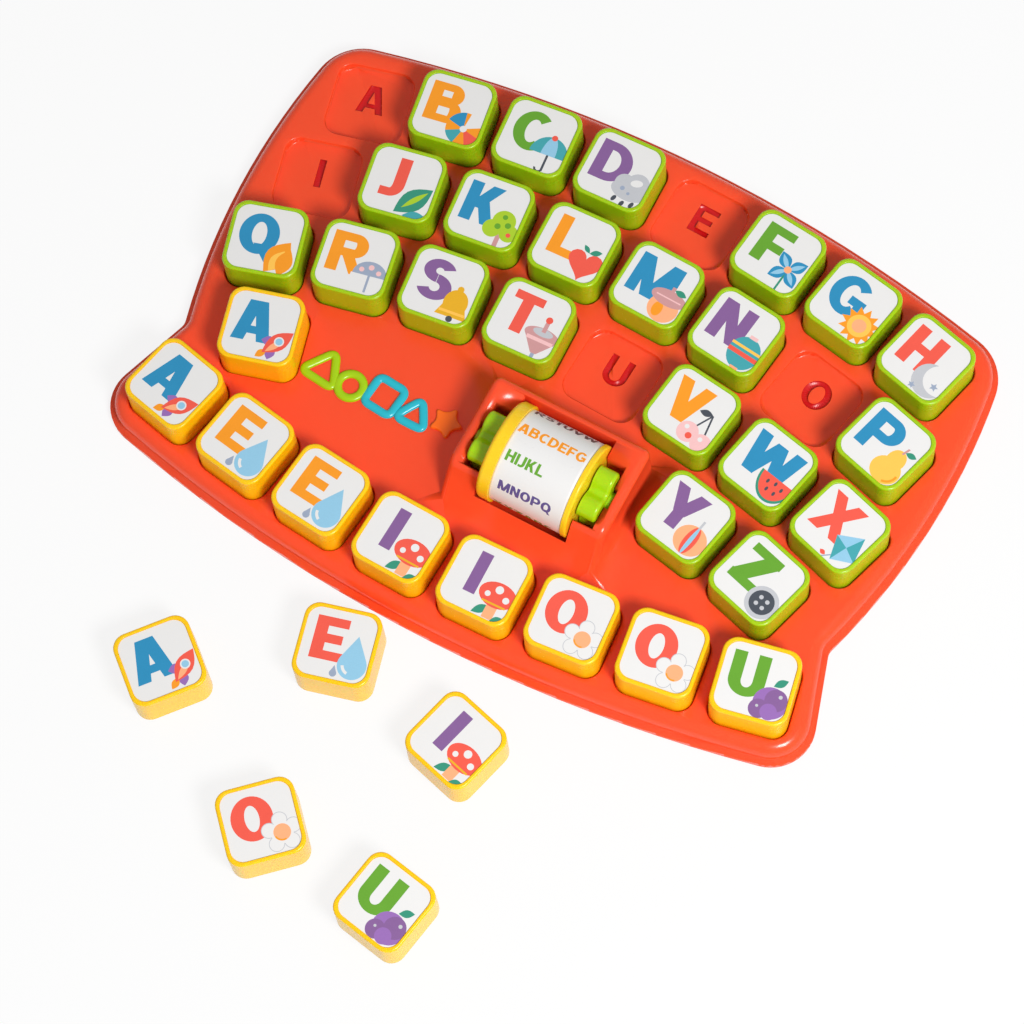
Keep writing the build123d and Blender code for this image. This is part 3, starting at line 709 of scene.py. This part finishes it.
# The pictures are plain ones, in millimetres from the label's middle, listed from the lowest
# layer of ink to the top one.
pictures = {
    "A": [("plum", petal(9.6, -7.4, 6.4, 4.4, 178)), ("plum", petal(8.4, -9, 6.4, 4.4, -98)),
          ("orange", petal(6.4, -11.2, 5.6, 3.2, -138)), ("coral", petal(4.6, -12.6, 15.4, 7.4, 44)),
          ("peach", petal(5.8, -12, 9, 2.6, 42)), ("white", disc(10.6, -6.8, 2.1)),
          ("sky", disc(10.6, -6.8, 1.5))],
    "B": [("orange", disc(9, -9, 7.6)), ("white", bow(9, -9, 7.6, 7.6, 20, 80, 6.4, 6.4)),
          ("blue", bow(9, -9, 7.6, 7.6, 95, 160, 6.4, 6.4)),
          ("teal", bow(9, -9, 7.6, 7.6, 200, 250, 6.4, 6.4)),
          ("coral", bow(9, -9, 7.6, 7.6, 290, 340, 6.4, 6.4)), ("white", disc(9, -9, 1.5))],
    "C": [("dark", bar(8.6, -15.6, 9.6, -4)), ("dark", bow(7.6, -14.6, 2, 2, 180, 360, 0.9, 0.9)),
          ("teal", bow(9.1, -8, 8.2, 8.6, 0, 180, 8, 8)), ("sky", bow(9.1, -8, 3.2, 8.6, 0, 180, 3, 8.4)),
          ("coral", disc(9.1, 0.4, 1.3))],
    "D": [("grey", disc(9.5, -8.5, 8, 4.6)), ("grey", disc(6.2, -6, 4.2)), ("grey", disc(11.6, -4.6, 5)),
          ("white", disc(11, -4.2, 2.6, 1.6, 20)), ("dark", disc(5, -14, 0.9, 1.5, -20)),
          ("dark", disc(9, -15, 0.9, 1.5, -20)), ("dark", disc(13, -14, 0.9, 1.5, -20)),
          ("slate", disc(6.4, -8.4, 1)), ("slate", disc(9.6, -9.8, 0.7))],
    "E": [("sky", disc(9.5, -8.8, 6)), ("sky", [(4.1, -6.2), (14.9, -6.2), (9.5, 3.6)]),
          ("white", bow(9.5, -8.8, 4.4, 4.4, 190, 250, 1.2, 1.2)), ("slate", disc(2.8, -13.4, 1.5)),
          ("slate", [(1.5, -12.8), (4.1, -12.8), (2.8, -10)])],
    "F": [("leaf", leg(9, -16.5, 9, -6, 0.9)), ("blue", petal(9, -5.6, 8.6, 5.4, 45)),
          ("blue", petal(9, -5.6, 8.6, 5.4, 135)), ("blue", petal(9, -5.6, 8.6, 5.4, 225)),
          ("blue", petal(9, -5.6, 8.6, 5.4, 315)), ("sky", petal(9, -5.6, 7.4, 2, 45)),
          ("sky", petal(9, -5.6, 7.4, 2, 135)), ("sky", petal(9, -5.6, 7.4, 2, 225)),
          ("sky", petal(9, -5.6, 7.4, 2, 315)), ("peach", disc(9, -5.6, 1.6))],
    "G": [("orange", star(9.4, -8.2, 8.6, 5.8, 12, 90)), ("yellow", disc(9.4, -8.2, 5)),
          ("peach", disc(9.4, -8.2, 3))],
    "H": [("grey", disc(9, -8, 7.6)), ("white", disc(12.2, -5.6, 6.8)),
          ("slate", star(4.4, -14, 1.7, 0.8, 5)), ("slate", star(12, -9, 1.9, 0.9, 5))],
    "I": [("leaf", petal(2.6, -15.4, 8, 3.6, 40)), ("peach", bar(7.2, -15.6, 11.8, -7)),
          ("coral", disc(9.5, -5, 8, 5.4)), ("white", disc(5.4, -5.8, 1.2)),
          ("white", disc(9.2, -2.6, 1.7)), ("white", disc(13.4, -5.6, 1.4)),
          ("mustard", bar(4.4, -9.4, 14.6, -8.6)), ("leaf", petal(11, -16, 6, 3, 30))],
    "J": [("leaf", petal(2, -15, 19, 9.6, 46)), ("lime", petal(4.6, -12.4, 13, 2.4, 46)),
          ("teal", petal(6, -15.6, 10, 4.4, 8))],
    "K": [("mauve", leg(9.4, -16.5, 9.4, -8, 2)), ("lime", disc(5.6, -8.6, 4)),
          ("lime", disc(13, -8.6, 4)), ("lime", disc(9.4, -4.2, 5)), ("green", disc(7.6, -7, 1.3)),
          ("green", disc(11.6, -5.4, 1.3)), ("green", disc(9.2, -2.2, 1.1)),
          ("coral", disc(13.2, -9.4, 1))],
    "L": [("coral", heart(9.2, -8, 15)), ("leaf", petal(9.2, -2.6, 5.4, 2.6, 25)),
          ("leaf", petal(9.2, -2.6, 4.4, 2, 140))],
    "M": [("peach", disc(9, -9.4, 6.6, 6.4)), ("orange", disc(7, -10.6, 2.2, 3.4)),
          ("mauve", disc(9, -4.4, 7.8, 3.6)), ("pink", bar(3.4, -4.8, 14.6, -4.2)),
          ("mauve", bar(8.2, -2, 9.8, 1)), ("leaf", petal(9.6, 0, 5.6, 2.8, -8))],
    "N": [("teal", disc(9.4, -8, 6.8, 7.6)), ("coral", bar(2.6, -9.6, 16.2, -7.6)),
          ("yellow", bar(2.6, -6.2, 16.2, -5)), ("pink", bar(7.6, -1, 11.2, 0.6)),
          ("peach", bar(7.6, -16.4, 11.2, -14.8))],
    "O": [("grey", disc(8.9, -2.8, 3.2)), ("grey", disc(13.8, -6.2, 3.2)), ("grey", disc(12, -12.2, 3.2)),
          ("grey", disc(5.8, -12.2, 3.2)), ("grey", disc(4, -6.2, 3.2)), ("white", disc(8.9, -2.8, 2.9)),
          ("white", disc(13.8, -6.2, 2.9)), ("white", disc(12, -12.2, 2.9)),
          ("white", disc(5.8, -12.2, 2.9)), ("white", disc(4, -6.2, 2.9)), ("white", disc(8.9, -8, 4.6)),
          ("peach", disc(8.9, -8, 3.5)), ("orange", bow(8.9, -8, 3.5, 3.5, 200, 290, 0.7, 0.7))],
    "P": [("yellow", disc(9, -10.2, 6.6, 6)), ("yellow", disc(9.4, -4.4, 4, 5)),
          ("orange", bow(9, -10.2, 5.8, 5.2, -70, 10, 1, 1)), ("mauve", leg(9.6, -0.6, 10.4, 3, 0.9)),
          ("leaf", petal(10.2, 0.8, 5, 2.6, 10))],
    "Q": [("orange", petal(4, -16, 17, 10, 60)), ("yellow", petal(6, -15.4, 11, 5.6, 64)),
          ("orange", petal(10, -17, 13, 7, 76))],
    "R": [("slate", disc(9.4, -7, 7.2, 6)), ("white", bar(1.6, -13.6, 17, -7.4)),
          ("slate", bar(8.9, -15, 9.9, -7.2)), ("pink", disc(5.6, -5.2, 1.1)),
          ("pink", disc(9.4, -3.6, 1.2)), ("pink", disc(13, -5.4, 1.1))],
    "S": [("mustard", disc(9.2, -7, 5.2, 6)),
          ("mustard", [(2.4, -13.6), (16, -13.6), (13.4, -7), (5, -7)]),
          ("yellow", bar(3.6, -12, 14.8, -10.8)), ("dark", disc(9.2, -14.4, 1.4)),
          ("mustard", disc(9.2, -0.6, 1.4))],
    "T": [("slate", leg(9.4, -16.6, 9.4, -11, 1.6)),
          ("mauve", [(1.8, -6), (17, -6), (10.6, -14), (8.2, -14)]), ("mauve", disc(9.4, -5.6, 7.6, 3.4)),
          ("pink", bar(3.6, -8.6, 15.2, -7)), ("grey", disc(9.4, -4.2, 4.4, 1.8)),
          ("mauve", bar(8.5, -4, 10.3, 1.6)), ("coral", disc(9.4, 1.8, 1.5))],
    "U": [("leaf", petal(9, -1.8, 6.4, 3.2, 35)), ("plum", disc(9.4, -8.8, 7, 6.6)),
          ("purple", disc(5.4, -12, 4)), ("purple", disc(11.4, -7.2, 4.6)),
          ("plum", disc(9.6, -12.4, 3.4)), ("grey", disc(12.8, -5.4, 0.8)),
          ("grey", disc(4.6, -11, 0.6))],
    "V": [("dark", leg(5.6, -10, 10.4, 1, 0.8)), ("dark", leg(13, -11, 10.4, 1, 0.8)),
          ("pink", disc(5.6, -10.4, 4.6)), ("pink", disc(13, -12, 4.4)), ("coral", disc(6.8, -11.6, 1.4)),
          ("white", disc(4.2, -8.6, 1)), ("white", disc(11.8, -10.4, 1)),
          ("dark", petal(10.4, 1, 6, 3, 190))],
    "W": [("leaf", bow(9.4, -4, 8.4, 11, 180, 360, 1.5, 1.5)),
          ("coral", bow(9.4, -4, 7.4, 9.8, 180, 360, 7.2, 9.6)), ("dark", disc(6, -7, 0.6, 1)),
          ("dark", disc(9.4, -6.2, 0.6, 1)), ("dark", disc(12.8, -7, 0.6, 1)),
          ("dark", disc(7.6, -10, 0.6, 1)), ("dark", disc(11.2, -10, 0.6, 1))],
    "X": [("slate", leg(4.4, -16.5, 8.2, -12, 0.7)), ("coral", petal(5.6, -14.6, 3, 2, 170)),
          ("teal", [(8.2, -14.6), (16.4, -9.4), (12.6, 1.4), (3.4, -5)]),
          ("sky", [(8.2, -14.6), (16.4, -9.4), (9.8, -6.6)]),
          ("sky", [(12.6, 1.4), (3.4, -5), (9.8, -6.6)])],
    "Y": [("peach", disc(9.2, -8.4, 7, 6.6)), ("coral", disc(9.2, -8.4, 2.6, 6.6)),
          ("sky", disc(9.2, -8.4, 0.9, 6.6)), ("grey", bar(8.7, -2.4, 9.7, 1.6))],
    "Z": [("grey", disc(9.4, -8.4, 7)), ("dark", disc(9.4, -8.4, 5.2)), ("grey", disc(7.8, -6.8, 0.9)),
          ("grey", disc(11, -6.8, 0.9)), ("grey", disc(7.8, -10, 0.9)), ("grey", disc(11, -10, 0.9))],
}
letter_inks = dict(
    A="blue", B="orange", C="green", D="purple", E="orange", F="green", G="blue", H="coral", I="purple",
    J="coral", K="blue", L="orange", M="blue", N="purple", O="coral", P="blue", Q="blue", R="orange",
    S="purple", T="coral", U="green", V="orange", W="blue", X="coral", Y="purple", Z="green")
letter_height, letter_foot = 20.2, -8.0
letter_middle, letter_left_limit = -3.9, -12.8
letter_stem, letter_cross = 0.285, 0.21
drawn_x, drawn_y = 9, -8.5
picture_x, picture_y, picture_grow = 8.3, -7.7, 1.12


def printed_sheet(name, outline, layers, thick):
    """A flat film in millimetres, its face divided among its inks, with the later layers on top."""
    corners, cells, covers = fitted([outline] + [shape for ink, shape in layers])
    used = sorted({"white"} | {ink for ink, shape in layers})
    sheet = bmesh.new()
    spots = [sheet.verts.new((x * mm, y * mm, thick)) for x, y in corners]
    for cell, cover in zip(cells, covers):
        if 0 in cover:
            face = sheet.faces.new([spots[i] for i in cell])
            top = max(cover)
            face.material_index = used.index(layers[top - 1][0] if top else "white")
    bmesh.ops.delete(sheet, geom=[v for v in sheet.verts if not v.link_faces], context="VERTS")
    mesh = bpy.data.meshes.new(name)
    for ink in used:
        mesh.materials.append(inks[ink])
    return sheet, mesh


def backed(sheet, mesh, thick):
    """Gives the film its edge and a plain back."""
    grown = bmesh.ops.extrude_face_region(sheet, geom=sheet.faces[:], use_keep_orig=True)
    fresh = [v for v in grown["geom"] if isinstance(v, bmesh.types.BMVert)]
    below = [f for f in grown["geom"] if isinstance(f, bmesh.types.BMFace)]
    bmesh.ops.translate(sheet, verts=fresh, vec=(0, 0, -thick))
    bmesh.ops.dissolve_faces(sheet, faces=below)
    bmesh.ops.recalc_face_normals(sheet, faces=sheet.faces[:])
    sheet.to_mesh(mesh)
    sheet.free()


label_meshes = {}
for node, (moulding, letter) in tiles.items():
    letter_ink = "coral" if node == "loose_e" else letter_inks[letter]
    key = letter + letter_ink
    if key not in label_meshes:
        width = letter_width(letter, letter_stem, letter_cross)
        left = max(letter_middle - width * letter_height / 2, letter_left_limit)
        layers = [(letter_ink, s) for s in
                  written(letter, left, letter_foot, letter_height, letter_stem, letter_cross)]
        for ink, shape in pictures[letter]:
            layers.append((ink, [(picture_x + (x - drawn_x) * picture_grow,
                                  picture_y + (y - drawn_y) * picture_grow) for x, y in shape]))
        face = rounded_square(label_half / mm, label_corner / mm)
        sheet, mesh = printed_sheet(f"label_{key.lower()}", face, layers, label_thick)
        backed(sheet, mesh, label_thick)
        label_meshes[key] = mesh
    label = put(f"{node}_label", label_meshes[key])
    label.matrix_world = moulding.matrix_world @ Matrix.Translation((0, 0, tile_height - seat_depth))
    settle(label, node)

# The roller is a yellow drum with a flange at each end. A printed sleeve wraps it between the
# flanges, with a run of letters in each line, and a cross-shaped green knob drives each end.
cap_low, cap_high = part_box("roller_cap")
sleeve_low, sleeve_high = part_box("roller_label")
axis_y = (cap_low.y + cap_high.y) / 2
axis_z = (cap_low.z + cap_high.z) / 2
drum_yellow = plastic("drum_yellow", (1.0, 0.62, 0.015), gloss=0.2, glow=0.2)
knob_green = plastic("knob_green", (0.37, 0.64, 0.003), gloss=0.16, glow=0.3)
for node, finish in (("roller_drum", drum_yellow), ("roller_cap", drum_yellow),
                     ("knob_left", knob_green), ("knob_right", knob_green)):
    frame["nodes"][node].data.materials.clear()
    frame["nodes"][node].data.materials.append(finish)

sleeve_radius = (sleeve_high.z - sleeve_low.z) / 2
sleeve_wall = 0.3 * mm
sleeve_length = (sleeve_high.x - sleeve_low.x) / mm
sleeve_round = 2 * pi * sleeve_radius / mm
word_height, word_stem, word_cross, word_gap = 5.3, 0.26, 0.2, 0.09
# Each line of letters has its ink, its start along the sleeve and its turn from the top
# towards the player.
word_lines = [("ABCDEFG", "orange", 0.9, -17), ("HIJKL", "green", 2.0, 20), ("MNOPQ", "navy", 3.6, 58),
              ("RSTUVW", "dark", 2.0, -57), ("XYZABC", "green", 2.0, 100), ("DEFGH", "orange", 3.0, 140),
              ("IJKLMN", "navy", 3.0, 180), ("OPQRST", "green", 2.0, -137), ("UVWXY", "orange", 3.0, -97)]
layers = []
for word, ink, start, turn in word_lines:
    x = start
    foot = (180 - turn) / 360 * sleeve_round - word_height / 2
    for letter in word:
        layers += [(ink, s) for s in written(letter, x, foot, word_height, word_stem, word_cross)]
        x += (letter_width(letter, word_stem, word_cross) + word_gap) * word_height
sheet, sleeve_mesh = printed_sheet("word_sleeve", bar(0, 0, sleeve_length, sleeve_round), layers, 0)
strips = 96
for strip in range(1, strips):
    cut = sheet.verts[:] + sheet.edges[:] + sheet.faces[:]
    bmesh.ops.bisect_plane(sheet, geom=cut, dist=1e-7, plane_no=(0, 1, 0),
                           plane_co=(0, strip / strips * sleeve_round * mm, 0))
for spot in sheet.verts:
    turn = pi - spot.co.y / mm / sleeve_round * 2 * pi
    spot.co = (sleeve_low.x + spot.co.x,
               axis_y - sleeve_radius * sin(turn), axis_z + sleeve_radius * cos(turn))
bmesh.ops.remove_doubles(sheet, verts=sheet.verts[:], dist=weld)
bmesh.ops.recalc_face_normals(sheet, faces=sheet.faces[:])
sheet.to_mesh(sleeve_mesh)
sheet.free()
sleeve_mesh.shade_smooth()
word_sleeve = put("word_sleeve", sleeve_mesh)
thickness = word_sleeve.modifiers.new("film", "SOLIDIFY")
thickness.thickness = sleeve_wall
thickness.offset = -1
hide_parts("roller_label")
settle(word_sleeve, "roller")
